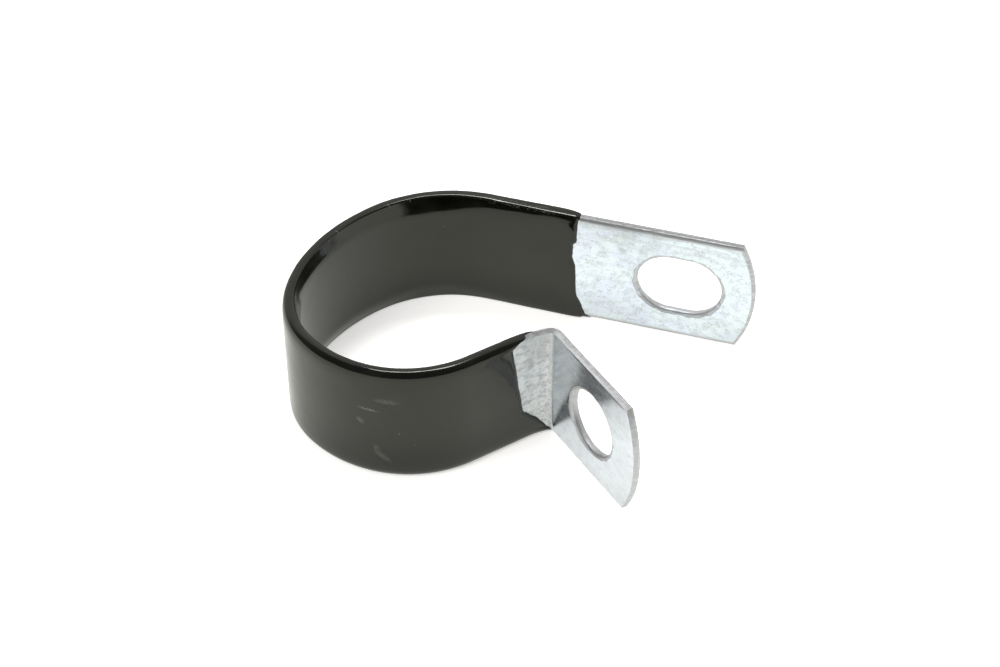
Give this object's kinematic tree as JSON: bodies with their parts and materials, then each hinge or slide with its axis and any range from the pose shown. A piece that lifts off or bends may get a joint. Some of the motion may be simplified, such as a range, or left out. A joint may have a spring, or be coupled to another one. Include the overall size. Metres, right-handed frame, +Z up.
{
  "type": "p clip",
  "caption": "Bent steel P clip with a dipped vinyl coat over its sprung open loop, a slotted long leg and a short tab with a round screw hole.",
  "frame": {"origin": "middle of the bounding box at its base, where the clip stands on the long edge of its coat", "axes": "+X along the straight long leg towards its slotted tip, +Y out of that leg's outer face, +Z up across the width of the strip"},
  "size_m": [0.0424, 0.0284, 0.0133],
  "materials": {
    "zinc_plated_steel": "bright zinc plate, mottled, slightly blue",
    "black_vinyl": "gloss dip coat"
  },
  "bodies": {
    "root": {"steel_strip": "zinc_plated_steel", "vinyl_coat": "black_vinyl"}
  },
  "joints": []
}
